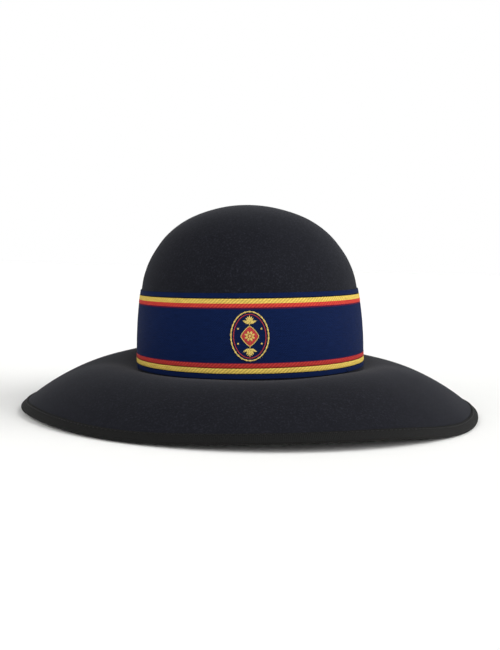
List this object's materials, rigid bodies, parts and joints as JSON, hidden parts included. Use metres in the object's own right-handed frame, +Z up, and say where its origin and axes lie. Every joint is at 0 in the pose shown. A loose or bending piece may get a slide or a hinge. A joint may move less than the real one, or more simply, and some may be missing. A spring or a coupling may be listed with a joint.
{
  "type": "felt bush hat",
  "caption": "Round-crowned felt hat with a wide turned-down brim, a striped woven band and a ribbon-bound edge.",
  "frame": {"origin": "on the surface that the hat rests on, below the middle of the brim", "axes": "+Z up from the surface through the crown, +Y towards the back of the hat, +X towards the wearer's left"},
  "size_m": [0.3338, 0.3688, 0.1507],
  "materials": {
    "felt": "charcoal navy felt, matt with a soft nap",
    "band_ribbon": "navy woven ribbon with red and yellow edge stripes",
    "binding_ribbon": "black ribbed ribbon, matt"
  },
  "bodies": {
    "root": {"felt_body": "felt", "hat_band": "band_ribbon", "brim_binding": "binding_ribbon"}
  },
  "joints": []
}
